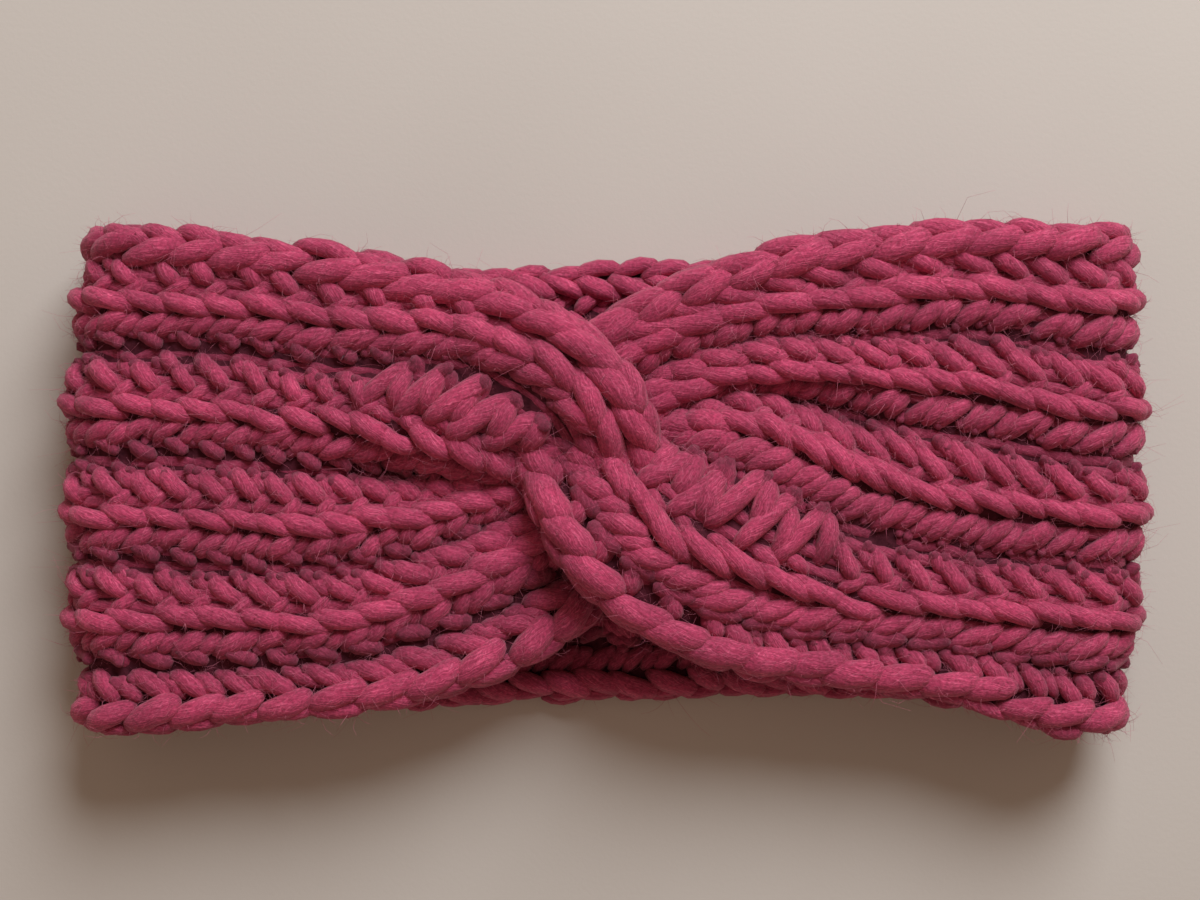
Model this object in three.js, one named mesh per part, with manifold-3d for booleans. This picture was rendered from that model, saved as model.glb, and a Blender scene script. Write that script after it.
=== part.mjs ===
// A crocheted ear warmer headband that lies flat on its back panel. Millimetres, +Z up, the photographed top edge
// towards +Y, and the origin on the surface under the middle.
// One strip of chunky ribbed crochet is bent into a flattened loop. Each of its two ends is folded in half lengthwise,
// the two folds are hooked into each other at the middle of the front, and the ends are sewn together there.
import * as THREE from "three";
import { mergeVertices } from "three/addons/utils/BufferGeometryUtils.js";
import Module from "manifold-3d";

const wasm = await Module();
wasm.setup();

// Driving sizes of the flattened loop
const loopLength = 242; // over both end folds
const foldWidth = 110; // width of the strip at the end folds
const backWidth = 98; // width of the strip at the middle of the back
const backShift = -1; // the middle of the back lies this far towards the bottom edge
const backTilt = 0.03; // rise of the back towards the top edge for each millimetre to the right
const foldHollow = 12.2; // height of the hollow inside an end fold
const twistHollow = 5.8; // height of the hollow under the twist
// How far the middle of an end fold stands past its corner on the edge that crosses over, and past the other one
const foldBulge = { over: 6.8, under: 4.3 };
const twistShift = { x: -3, y: 5 }; // the twist sits this far off the loop's middle

// Driving sizes of the crochet
const ribThickness = 9.5; // over the ribs
const grooveThickness = 4; // in the grooves between them
const edgeThickness = 3.4; // at the very rim of the edge chains
const sewnThickness = 3.6; // at the strip's sewn ends

// Driving sizes of the twist
const layerGap = 2.6; // between the strands that cross over and the ones under them
const pleatDepth = 5.5; // how deep each wing's middle groove sinks on its way into the twist
const seamLength = 24;
const seamWidth = 5;
const seamSink = 3; // how far the seam's top lies below the middle of the strands that cross over

// Heights of the middle of the fabric
const backHeight = ribThickness / 2;
const frontHeight = backHeight + ribThickness + foldHollow;
const underHeight = backHeight + ribThickness + twistHollow;
const overHeight = underHeight + ribThickness + layerGap;
const foldRadius = (frontHeight - backHeight) / 2;

// Ribs across the strip from its bottom to its top edge, as shares of half its width: four ribs and a chain along each
// edge, with a groove on either side of every rib
const ribShares = [-0.54, -0.135, 0.285, 0.705];
const grooveShares = [-0.76, -0.335, 0.085, 0.505, 0.865];
const edgeShares = { inner: 0.92, outer: 0.965 };
const crestShare = 0.052; // half of a rib's flat top
const shoulderShare = 0.125; // from a rib's middle to its shoulder
const shoulderRise = 0.6; // height of a shoulder, from groove 0 to crest 1
const rounding = 1e-9; // so that a corner set at a rib's crest or shoulder counts as on it

// The wings run from an end fold to the strip's sewn end. A guide row keeps its place across the strip, and is given at
// these shares of its way. x is a share of half the loop's length and y of half its width at the folds. layer is 1
// where the row crosses over, -1 where it passes under and 0 at the height of the fold.
const stations = [0, 0.2, 0.4, 0.55, 0.68, 0.8, 0.9, 1];
const layers = {
  edgeOver: [0, 0, 0, 0.3, 0.7, 1, 1, 0.7],
  ribOver: [0, 0, 0.1, 0.5, 0.9, 1, 1, 0.7],
  ribInner: [0, 0, 0.1, 0.25, 0.35, 0.2, -0.3, -1],
  ribDiving: [0, 0, 0, -0.1, -0.3, -0.7, -1, -1],
  ribUnder: [0, 0, 0, -0.2, -0.5, -0.9, -1, -1],
  edgeUnder: [0, 0, 0, -0.3, -0.8, -1, -1, -1],
};
// How much of the pleat's depth and of the twist's shift a wing has at the stations
const pleatRun = [0, 0, 0.15, 0.7, 1, 0.75, 0.35, 0];
const shiftRun = [0, 0, 0.1, 0.25, 0.45, 0.7, 0.9, 1];
const pleatReach = 0.25; // from the pleat's bottom to either brim, as a share of half the strip's width
const leftWing = [
  {
    across: -1,
    x: [-0.608, -0.378, -0.208, -0.071, 0.038, 0.092, 0.113],
    y: [-0.94, -0.893, -0.815, -0.69, -0.5, -0.25, 0.022],
    layer: layers.edgeUnder,
  },
  {
    across: -0.615,
    x: [-0.65, -0.463, -0.322, -0.204, -0.096, -0.017, 0.03],
    y: [-0.622, -0.615, -0.548, -0.46, -0.374, -0.23, -0.03],
    layer: layers.ribUnder,
  },
  {
    across: -0.205,
    x: [-0.685, -0.53, -0.412, -0.312, -0.22, -0.143, -0.067],
    y: [-0.22, -0.244, -0.244, -0.226, -0.19, -0.157, -0.09],
    layer: layers.ribDiving,
  },
  {
    across: 0.205,
    x: [-0.695, -0.548, -0.44, -0.345, -0.26, -0.19, -0.118],
    y: [0.198, 0.155, 0.117, 0.074, 0.015, -0.03, -0.06],
    layer: layers.ribInner,
  },
  {
    across: 0.615,
    x: [-0.66, -0.475, -0.34, -0.225, -0.13, -0.058, -0.003],
    y: [0.596, 0.537, 0.5, 0.444, 0.344, 0.2, 0.005],
    layer: layers.ribOver,
  },
  {
    across: 1,
    x: [-0.62, -0.4, -0.24, -0.11, 0.005, 0.078, 0.115],
    y: [0.95, 0.865, 0.775, 0.655, 0.49, 0.28, 0.085],
    layer: layers.edgeOver,
  },
];
// The right wing is given turned half round about Z, so that it reads like the left one.
const rightWing = [
  {
    across: -1,
    x: [-0.617, -0.383, -0.213, -0.075, 0.033, 0.092, 0.113],
    y: [-1.002, -0.947, -0.833, -0.667, -0.48, -0.25, 0.022],
    layer: layers.edgeUnder,
  },
  {
    across: -0.615,
    x: [-0.654, -0.467, -0.33, -0.213, -0.104, -0.025, 0.03],
    y: [-0.681, -0.643, -0.611, -0.548, -0.444, -0.26, -0.03],
    layer: layers.ribUnder,
  },
  {
    across: -0.205,
    x: [-0.683, -0.525, -0.408, -0.308, -0.22, -0.146, -0.067],
    y: [-0.281, -0.33, -0.365, -0.367, -0.311, -0.231, -0.09],
    layer: layers.ribDiving,
  },
  {
    across: 0.205,
    x: [-0.695, -0.55, -0.442, -0.358, -0.279, -0.2, -0.12],
    y: [0.165, 0.115, 0.052, -0.03, -0.089, -0.089, -0.074],
    layer: layers.ribInner,
  },
  {
    across: 0.615,
    x: [-0.658, -0.479, -0.346, -0.233, -0.137, -0.07, -0.003],
    y: [0.567, 0.54, 0.506, 0.437, 0.33, 0.19, 0.005],
    layer: layers.ribOver,
  },
  {
    across: 1,
    x: [-0.62, -0.404, -0.242, -0.108, 0.004, 0.079, 0.115],
    y: [0.87, 0.804, 0.76, 0.676, 0.533, 0.33, 0.085],
    layer: layers.edgeOver,
  },
];

// Where the strip is cut into sections: along a wing from its sewn end, round an end fold, and along the back
const wingCuts = [
  1, 0.975, 0.945, 0.905, 0.86, 0.81, 0.76, 0.71, 0.66, 0.61, 0.55, 0.48, 0.4, 0.3, 0.2, 0.1, 0,
];
const foldTurns = [1, 2, 3, 4, 5, 6, 7].map((step) => step / 8);
const backCuts = [0, 0.3, 0.65]; // shares of the way from the fold to the middle of the back
const backJoin = 1; // the two halves of the back are straight this near the middle
const backOverlap = 0.5; // how far each half runs past the middle

// A smooth curve through values given at places, read at one place.
function smooth(places, values, place) {
  const last = places.length - 1;
  let i = 0;
  while (i < last - 1 && place > places[i + 1]) i += 1;
  const slope = (k) => {
    const a = Math.max(k - 1, 0);
    const b = Math.min(k + 1, last);
    return (values[b] - values[a]) / (places[b] - places[a]);
  };
  const span = places[i + 1] - places[i];
  const u = (place - places[i]) / span;
  const rest = 1 - u;
  return (
    values[i] * (1 + 2 * u) * rest * rest +
    slope(i) * span * u * rest * rest +
    values[i + 1] * (3 - 2 * u) * u * u -
    slope(i + 1) * span * rest * u * u
  );
}

// How far the fold's centre line lies from the loop's middle, for a place across the strip.
function foldCentre(across) {
  const bulge = across > 0 ? foldBulge.over : foldBulge.under;
  return loopLength / 2 - ribThickness / 2 - foldRadius - bulge * Math.abs(across) ** 2.5;
}

function layerHeight(layer) {
  return frontHeight + layer * (layer > 0 ? overHeight - frontHeight : frontHeight - underHeight);
}

// How much of the pleat's depth there is at a place across the strip.
function pleatShare(across) {
  const fromBottom = Math.min(1, Math.abs(across - grooveShares[2]) / pleatReach);
  return Math.cos((Math.PI / 2) * fromBottom) ** 2;
}

// A point on the middle of the fabric of a wing. way is 0 at the end fold and 1 at the sewn end. side is 1 on the left
// wing, and -1 on the right one, which is made turned half round about Z.
function wingPoint(wing, side, across, way) {
  const places = wing.map((row) => row.across);
  const read = (column) =>
    smooth(
      places,
      wing.map((row) => smooth(stations, column(row), way)),
      across,
    );
  const x = read((row) => [-foldCentre(row.across), ...row.x.map((share) => (share * loopLength) / 2)]);
  const y = read((row) => [(row.across * foldWidth) / 2, ...row.y.map((share) => (share * foldWidth) / 2)]);
  const z = read((row) => row.layer.map(layerHeight));
  const near = side * smooth(stations, shiftRun, way);
  const dip = pleatDepth * pleatShare(side * across) * smooth(stations, pleatRun, way);
  return new THREE.Vector3(x + twistShift.x * near, y + twistShift.y * near, z - dip);
}

// A point on the middle of the fabric of the end fold. turn is 0 at the wing and 1 at the back.
function foldPoint(across, turn) {
  const angle = Math.PI * (0.5 + turn);
  return new THREE.Vector3(
    -foldCentre(across) + foldRadius * Math.cos(angle),
    (across * foldWidth) / 2,
    backHeight + foldRadius + foldRadius * Math.sin(angle),
  );
}

// A point on the middle of the fabric of the back, at a distance x from the loop's middle.
function backPoint(side, across, x) {
  const away = Math.max(0, -x - backJoin);
  const spread = smooth([0, 0.5, 1], [0, 0.1, 1], Math.min(1, away / (foldCentre(0) - backJoin)));
  const width = backWidth + (foldWidth - backWidth) * spread;
  const shift = (side * backShift - backTilt * away) * (1 - spread);
  return new THREE.Vector3(x, (across * width) / 2 + shift, backHeight);
}

// Half the thickness of the fabric at a place across the strip.
function halfThickness(across) {
  const place = Math.abs(across);
  if (place > edgeShares.outer) {
    const out = (place - edgeShares.outer) / (1 - edgeShares.outer);
    return (ribThickness + (edgeThickness - ribThickness) * out) / 2;
  }
  const fromRib = Math.min(...ribShares.map((rib) => Math.abs(across - rib)));
  const within = (reach) => fromRib < reach + rounding;
  const height = place >= edgeShares.inner || within(crestShare) ? 1 : within(shoulderShare) ? shoulderRise : 0;
  return (grooveThickness + (ribThickness - grooveThickness) * height) / 2;
}

// The places across the strip where its section has a corner, for a half that is turned (-1) or not (1)
function sectionPlaces(side) {
  return [
    ...grooveShares,
    ...ribShares.flatMap((rib) => [-shoulderShare, -crestShare, crestShare, shoulderShare].map((off) => rib + off)),
    ...[-1, 1].flatMap((edge) => [edge, edge * edgeShares.outer, edge * edgeShares.inner]),
  ]
    .map((place) => side * place)
    .sort((a, b) => a - b);
}

// How much of the full thickness is left near the sewn end
const noseWay = [0, 0.9, 0.95, 0.98, 1];
const noseShare = [1, 1, 0.93, 0.75, sewnThickness / ribThickness];

// The middle of the fabric at every section of one half of the strip, from its sewn end to just past the middle of the
// back. at gives the point for a place across the strip, moved by a small step along it.
function halfMiddles(wing, side) {
  return [
    ...wingCuts.map((way) => ({
      at: (across, step) => wingPoint(wing, side, across, way - step),
      share: smooth(noseWay, noseShare, way),
    })),
    ...foldTurns.map((turn) => ({ at: (across, step) => foldPoint(across, turn + step), share: 1 })),
    ...backCuts.map((cut) => ({
      at: (across, step) => backPoint(side, across, -foldCentre(across) * (1 - cut) + step),
      share: 1,
    })),
    ...[-backJoin, backOverlap].map((x) => ({ at: (across, step) => backPoint(side, across, x + step), share: 1 })),
  ];
}

// The outer and the inner face of every section of one half of the strip.
function halfSections(wing, side) {
  const step = 1e-3;
  return halfMiddles(wing, side).map(({ at, share }) =>
    sectionPlaces(side).map((across) => {
      const middle = at(across, 0);
      const along = at(across, step).sub(at(across, -step));
      const sideways = at(Math.min(across + step, 1), 0).sub(at(Math.max(across - step, -1), 0));
      const normal = along.cross(sideways).normalize();
      const half = halfThickness(side * across) * share;
      const turn = (point) => point.set(side * point.x, side * point.y, point.z);
      return {
        outside: turn(middle.clone().addScaledVector(normal, -half)),
        inside: turn(middle.clone().addScaledVector(normal, half)),
      };
    }),
  );
}

// Closes the two faces of a run of sections into one solid.
function slab(sections) {
  const points = [];
  const triangles = [];
  const ring = sections.map((section) => {
    const outside = section.map((place) => points.push(place.outside) - 1);
    const inside = section.map((place) => points.push(place.inside) - 1);
    return [...outside, ...inside.reverse()];
  });
  const quad = (a, b, c, d) => triangles.push(a, b, c, a, c, d);
  for (let i = 0; i + 1 < ring.length; i += 1) {
    const [near, far] = [ring[i], ring[i + 1]];
    for (let k = 0; k < near.length; k += 1) {
      const next = (k + 1) % near.length;
      quad(near[k], near[next], far[next], far[k]);
    }
  }
  const cap = (line, flip) => {
    const half = line.length / 2;
    for (let k = 0; k + 1 < half; k += 1) {
      const [a, b] = [line[k], line[k + 1]];
      const [c, d] = [line[2 * half - 2 - k], line[2 * half - 1 - k]];
      if (flip) quad(a, b, c, d);
      else quad(d, c, b, a);
    }
  };
  cap(ring[0], false);
  cap(ring[ring.length - 1], true);
  return solid(points, triangles);
}

function solid(points, triangles) {
  const made = new wasm.Manifold(
    new wasm.Mesh({
      numProp: 3,
      vertProperties: new Float32Array(points.flatMap((p) => [p.x, p.y, p.z])),
      triVerts: new Uint32Array(triangles),
    }),
  );
  if (made.volume() > 0) return made;
  const turned = [];
  for (let i = 0; i < triangles.length; i += 3) turned.push(triangles[i], triangles[i + 2], triangles[i + 1]);
  return solid(points, turned);
}

function geometry(manifold) {
  const { vertProperties, triVerts } = manifold.getMesh();
  const made = new THREE.BufferGeometry();
  made.setAttribute("position", new THREE.BufferAttribute(new Float32Array(vertProperties), 3));
  made.setIndex(new THREE.BufferAttribute(new Uint32Array(triVerts), 1));
  made.computeVertexNormals();
  return made;
}

// The seam: a ridge of sewing yarn that joins the strip's two ends in the middle of the twist.
function makeSeam() {
  const run = wingPoint(leftWing, 1, 0.205, 1).sub(wingPoint(leftWing, 1, 1, 1));
  const height = overHeight - seamSink - underHeight;
  const box = new THREE.BoxGeometry(seamLength, seamWidth, height);
  box.rotateZ(Math.atan(run.y / run.x));
  box.translate(twistShift.x, twistShift.y, underHeight + height / 2);
  box.deleteAttribute("normal");
  box.deleteAttribute("uv");
  const merged = mergeVertices(box);
  const corner = (_, i) => new THREE.Vector3().fromBufferAttribute(merged.attributes.position, i);
  const corners = Array.from({ length: merged.attributes.position.count }, corner);
  return solid(corners, [...merged.index.array]);
}

function makeBand() {
  const halves = [slab(halfSections(leftWing, 1)), slab(halfSections(rightWing, -1))];
  return halves[0].add(halves[1]).add(makeSeam());
}

const yarn = new THREE.MeshStandardMaterial({ name: "yarn", color: 0xa8345c, roughness: 0.95, metalness: 0 });

const band = new THREE.Mesh(geometry(makeBand()), yarn);
band.name = "band";

const headband = new THREE.Group();
headband.name = "ear_warmer_headband";
headband.add(band);
export default headband;
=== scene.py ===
import math

import bpy
import numpy as np
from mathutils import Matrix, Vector


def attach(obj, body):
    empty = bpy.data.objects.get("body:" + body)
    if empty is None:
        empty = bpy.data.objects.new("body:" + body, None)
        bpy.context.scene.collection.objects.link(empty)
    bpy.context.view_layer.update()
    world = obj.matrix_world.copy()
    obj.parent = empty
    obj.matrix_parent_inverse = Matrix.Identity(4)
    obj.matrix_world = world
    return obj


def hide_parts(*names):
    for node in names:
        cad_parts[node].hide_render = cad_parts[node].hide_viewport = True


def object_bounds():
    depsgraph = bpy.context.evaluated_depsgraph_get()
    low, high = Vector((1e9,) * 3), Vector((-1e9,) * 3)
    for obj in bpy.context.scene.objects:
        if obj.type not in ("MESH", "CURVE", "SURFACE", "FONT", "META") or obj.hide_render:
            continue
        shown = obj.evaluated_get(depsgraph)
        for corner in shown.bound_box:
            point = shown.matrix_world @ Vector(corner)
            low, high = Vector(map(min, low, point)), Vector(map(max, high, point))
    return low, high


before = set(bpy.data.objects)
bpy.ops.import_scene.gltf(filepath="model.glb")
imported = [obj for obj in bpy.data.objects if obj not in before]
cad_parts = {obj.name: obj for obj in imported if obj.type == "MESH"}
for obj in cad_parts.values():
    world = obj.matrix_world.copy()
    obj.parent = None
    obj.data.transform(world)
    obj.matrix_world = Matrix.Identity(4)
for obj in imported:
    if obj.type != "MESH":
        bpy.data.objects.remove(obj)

cad_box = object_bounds()
MM = 0.001
rng = np.random.default_rng(11)

# Sizes of the flattened loop, in millimetres, as in the part
LOOP_LENGTH = 242
FOLD_WIDTH = 110
BACK_WIDTH = 98
BACK_SHIFT = -1
BACK_TILT = 0.03
BACK_SPREAD = {"places": [0, 0.5, 1], "shares": [0, 0.1, 1]}
FOLD_HOLLOW = 12.2
TWIST_HOLLOW = 5.8
FOLD_BULGE = {"over": 6.8, "under": 4.3}
FOLD_BULGE_POWER = 2.5
TWIST_SHIFT = (-3, 5)
PLEAT_DEPTH = 5.5
RIB_THICKNESS = 9.5
LAYER_GAP = 2.6
BACK_JOIN = 1
BACK_HEIGHT = RIB_THICKNESS / 2
FRONT_HEIGHT = BACK_HEIGHT + RIB_THICKNESS + FOLD_HOLLOW
UNDER_HEIGHT = BACK_HEIGHT + RIB_THICKNESS + TWIST_HOLLOW
OVER_HEIGHT = UNDER_HEIGHT + RIB_THICKNESS + LAYER_GAP
FOLD_RADIUS = (FRONT_HEIGHT - BACK_HEIGHT) / 2

# Guide rows of the two wings, as shares of half the loop's length and half its width: see the part's tables
STATIONS = [0, 0.2, 0.4, 0.55, 0.68, 0.8, 0.9, 1]
ACROSS = [-1, -0.615, -0.205, 0.205, 0.615, 1]
LAYERS = [
    [0, 0, 0, -0.3, -0.8, -1, -1, -1],
    [0, 0, 0, -0.2, -0.5, -0.9, -1, -1],
    [0, 0, 0, -0.1, -0.3, -0.7, -1, -1],
    [0, 0, 0.1, 0.25, 0.35, 0.2, -0.3, -1],
    [0, 0, 0.1, 0.5, 0.9, 1, 1, 0.7],
    [0, 0, 0, 0.3, 0.7, 1, 1, 0.7],
]
PLEAT_RUN = [0, 0, 0.15, 0.7, 1, 0.75, 0.35, 0]
SHIFT_RUN = [0, 0, 0.1, 0.25, 0.45, 0.7, 0.9, 1]
PLEAT_PLACE = 0.085
PLEAT_REACH = 0.25
LEFT_WING = {
    "x": [
        [-0.608, -0.378, -0.208, -0.071, 0.038, 0.092, 0.113],
        [-0.65, -0.463, -0.322, -0.204, -0.096, -0.017, 0.03],
        [-0.685, -0.53, -0.412, -0.312, -0.22, -0.143, -0.067],
        [-0.695, -0.548, -0.44, -0.345, -0.26, -0.19, -0.118],
        [-0.66, -0.475, -0.34, -0.225, -0.13, -0.058, -0.003],
        [-0.62, -0.4, -0.24, -0.11, 0.005, 0.078, 0.115],
    ],
    "y": [
        [-0.94, -0.893, -0.815, -0.69, -0.5, -0.25, 0.022],
        [-0.622, -0.615, -0.548, -0.46, -0.374, -0.23, -0.03],
        [-0.22, -0.244, -0.244, -0.226, -0.19, -0.157, -0.09],
        [0.198, 0.155, 0.117, 0.074, 0.015, -0.03, -0.06],
        [0.596, 0.537, 0.5, 0.444, 0.344, 0.2, 0.005],
        [0.95, 0.865, 0.775, 0.655, 0.49, 0.28, 0.085],
    ],
}
RIGHT_WING = {
    "x": [
        [-0.617, -0.383, -0.213, -0.075, 0.033, 0.092, 0.113],
        [-0.654, -0.467, -0.33, -0.213, -0.104, -0.025, 0.03],
        [-0.683, -0.525, -0.408, -0.308, -0.22, -0.146, -0.067],
        [-0.695, -0.55, -0.442, -0.358, -0.279, -0.2, -0.12],
        [-0.658, -0.479, -0.346, -0.233, -0.137, -0.07, -0.003],
        [-0.62, -0.404, -0.242, -0.108, 0.004, 0.079, 0.115],
    ],
    "y": [
        [-1.002, -0.947, -0.833, -0.667, -0.48, -0.25, 0.022],
        [-0.681, -0.643, -0.611, -0.548, -0.444, -0.26, -0.03],
        [-0.281, -0.33, -0.365, -0.367, -0.311, -0.231, -0.09],
        [0.165, 0.115, 0.052, -0.03, -0.089, -0.089, -0.074],
        [0.567, 0.54, 0.506, 0.437, 0.33, 0.19, 0.005],
        [0.87, 0.804, 0.76, 0.676, 0.533, 0.33, 0.085],
    ],
}

# The crochet: places of the ribs' crests across the strip, from the top edge (1) to the bottom edge (-1)
CRESTS = [0.705, 0.285, -0.135, -0.54]
STITCH_LENGTH = 8.2
STRIP_HALF = FOLD_WIDTH / 2

# The yarn of one stitch, seen from the outside with the top edge up. A point is (share of a stitch to the
# right, millimetres down from the row's line, millimetres out from the middle of the fabric). On the right
# half of the loop the crochet is pulled looser: right_half is (widening, heightening, millimetres further
# down). A yarn with a zone is either in the rib that opens out beside the strands that cross over, or in the
# rest of the wings. taper is the share of its radius that a yarn loses at its ends. loose is how many times as
# much as the others it varies.
RIB_YARNS = {
    "crest": {
        "radius": 2.1,
        "taper": 0.38,
        "path": [(-0.74, -1.3, -0.9), (-0.54, -1.2, 1.2), (-0.24, -0.6, 2.8), (0.08, 0.0, 3.3),
                 (0.4, 0.6, 2.8), (0.68, 1.2, 1.4), (0.86, 1.4, -0.9)],
        "right_half": (1.15, 1.0, 0),
    },
    "wide_slant": {
        "radius": 1.95,
        "path": [(0.66, 2.3, 0.0), (0.53, 3.1, 1.4), (0.3, 4.4, 1.9), (0.06, 5.7, 1.3),
                 (-0.12, 6.8, 0.1), (-0.2, 7.5, -1.6)],
        "right_half": (1.15, 1.25, 1.6),
    },
    "narrow_slant": {
        "radius": 1.7,
        "path": [(1.02, 2.7, -0.2), (0.93, 3.4, 1.2), (0.76, 4.7, 1.7), (0.58, 5.9, 1.1),
                 (0.46, 6.8, -0.1), (0.4, 7.4, -1.6)],
        "right_half": (1.05, 1.2, 1.4),
    },
    "valley_bump": {
        "radius": 1.9,
        "path": [(0.08, 6.9, -2.8), (0.16, 7.6, -1.4), (0.34, 8.3, -0.6), (0.5, 9.0, -1.1),
                 (0.58, 9.6, -2.6)],
        "right_half": (1.6, -0.7, 1.5),
    },
    "post": {
        "radius": 2.05,
        "path": [(-0.02, -10.0, -2.4), (0.04, -9.4, -0.4), (0.16, -8.4, 1.3), (0.33, -7.1, 2.3),
                 (0.5, -5.9, 2.4), (0.62, -5.0, 1.6), (0.7, -4.2, 0.2)],
        "right_half": (1.25, 1.15, 0.6),
        "zone": "wing",
    },
    "low_loop": {
        "radius": 1.9,
        "path": [(-0.36, -10.7, -2.4), (-0.3, -10.0, -0.8), (-0.2, -9.0, 0.6), (-0.09, -8.1, 1.1),
                 (0.02, -7.3, 0.8), (0.1, -6.6, -0.4)],
        "zone": "wing",
    },
    "foot": {
        "radius": 1.65,
        "path": [(0.5, -1.2, 0.4), (0.6, -2.2, 1.6), (0.76, -3.3, 1.9), (0.9, -4.4, 1.4),
                 (1.0, -5.2, 0.0)],
        "right_half": (1.0, 0.8, 0.4),
        "zone": "wing",
    },
    "left_leg": {
        "radius": 2.25,
        "path": [(0.16, -14.4, -2.6), (0.1, -13.3, -0.4), (-0.02, -11.3, 1.3), (-0.18, -8.6, 2.2),
                 (-0.33, -5.8, 2.3), (-0.42, -3.8, 1.4), (-0.46, -2.6, 0.0)],
        "zone": "twist",
        "loose": 1.9,
    },
    "right_leg": {
        "radius": 2.45,
        "path": [(0.16, -14.0, -2.6), (0.22, -12.9, -0.2), (0.32, -10.9, 1.5), (0.42, -8.7, 1.7),
                 (0.5, -6.8, 0.8), (0.54, -5.6, -0.8)],
        "zone": "twist",
        "loose": 1.9,
    },
    "low_foot": {
        "radius": 1.6,
        "path": [(-0.2, -4.4, 0.0), (-0.02, -3.6, 1.2), (0.2, -3.0, 1.5), (0.4, -2.6, 1.0),
                 (0.52, -2.2, 0.0)],
        "zone": "twist",
        "loose": 1.9,
    },
}
TOP_EDGE_YARNS = {
    "lower_arm": {
        "radius": 2.5,
        "path": [(-0.72, 7.4, 0.2), (-0.46, 6.6, 2.0), (-0.12, 5.5, 3.0), (0.2, 4.4, 3.2),
                 (0.48, 3.4, 2.6), (0.66, 2.7, 1.4), (0.78, 2.2, -0.2)],
    },
    "upper_arm": {
        "radius": 2.1,
        "path": [(-0.62, 1.3, 0.0), (-0.38, 1.0, 1.4), (0.0, 1.2, 2.2), (0.35, 2.0, 2.3),
                 (0.65, 3.0, 1.7), (0.85, 3.7, 0.4)],
    },
}
BOTTOM_EDGE_YARNS = {
    "upper_arm": {
        "radius": 2.6,
        "path": [(-0.7, -2.1, 0.2), (-0.44, -2.9, 2.0), (-0.12, -3.9, 2.9), (0.2, -5.0, 3.0),
                 (0.48, -6.0, 2.2), (0.66, -6.7, 0.6)],
    },
    "lower_arm": {
        "radius": 1.7,
        "path": [(-0.7, -3.2, 0.0), (-0.45, -2.3, 1.0), (-0.1, -1.4, 1.5), (0.3, -1.1, 1.4),
                 (0.6, -1.2, 0.1)],
    },
    "stub": {
        "radius": 2.0,
        "path": [(-0.34, -13.0, -1.6), (-0.14, -11.8, 0.2), (0.08, -10.2, 1.3), (0.28, -8.4, 1.4),
                 (0.42, -6.6, 0.4)],
    },
    "low_stub": {
        "radius": 1.85,
        "path": [(0.2, -12.6, -1.8), (0.38, -11.2, -0.2), (0.58, -9.4, 0.7), (0.8, -7.4, 0.3)],
    },
}

# How finely the sheet and the yarns are cut, and how far the sheet is carried on past its sewn ends, in
# millimetres
SHEET_ACROSS = 97
WING_COLUMNS = 221
FOLD_COLUMNS = 61
BACK_COLUMNS = 181
SHEET_STEP = 0.5
TUCK_STEPS = 24
TUCK = TUCK_STEPS * SHEET_STEP
TUCK_DIVE = 0.8
TUCK_DIVE_POWER = 1.5
END_WAY_STEPS = 8
WING_CUT = {"points": 10, "sides": 10}
BACK_CUT = {"points": 6, "sides": 6}
INNER_CUT = {"points": 6, "sides": 6}

# How the yarns vary: spreads of their place (a share of a stitch to the right, millimetres down and out), of
# their length and of their bend, then of their thickness
VARIATION = {"right": 0.05, "down": 0.35, "out": 0.2, "length": 0.07, "bow_right": 0.04, "bow_down": 0.45}
TAPER = 0.58
TAPER_POWER = 2.8
SLUBS = 0.025
PLUMPNESS = 0.07
RADIUS_LIMITS = (0.9, 1.12)


def smooth(places, values, at):
    """A smooth curve through values given at places, read at many places."""
    places = np.asarray(places, float)
    values = np.asarray(values, float)
    at = np.asarray(at, float)
    last = len(places) - 1
    before = np.maximum(np.arange(last + 1) - 1, 0)
    after = np.minimum(np.arange(last + 1) + 1, last)
    wide = (-1,) + (1,) * (values.ndim - 1)
    slopes = (values[after] - values[before]) / (places[after] - places[before]).reshape(wide)
    i = np.clip(np.searchsorted(places, at) - 1, 0, last - 1)
    span = (places[i + 1] - places[i]).reshape(wide)
    u = ((at - places[i]).reshape(wide)) / span
    rest = 1 - u
    return (
        values[i] * (1 + 2 * u) * rest**2
        + slopes[i] * span * u * rest**2
        + values[i + 1] * (3 - 2 * u) * u**2
        - slopes[i + 1] * span * rest * u**2
    )


def unit(vectors):
    return vectors / np.linalg.norm(vectors, axis=-1, keepdims=True)


def fold_centre(across):
    bulge = np.where(across > 0, FOLD_BULGE["over"], FOLD_BULGE["under"])
    return LOOP_LENGTH / 2 - RIB_THICKNESS / 2 - FOLD_RADIUS - bulge * np.abs(across) ** FOLD_BULGE_POWER


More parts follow.
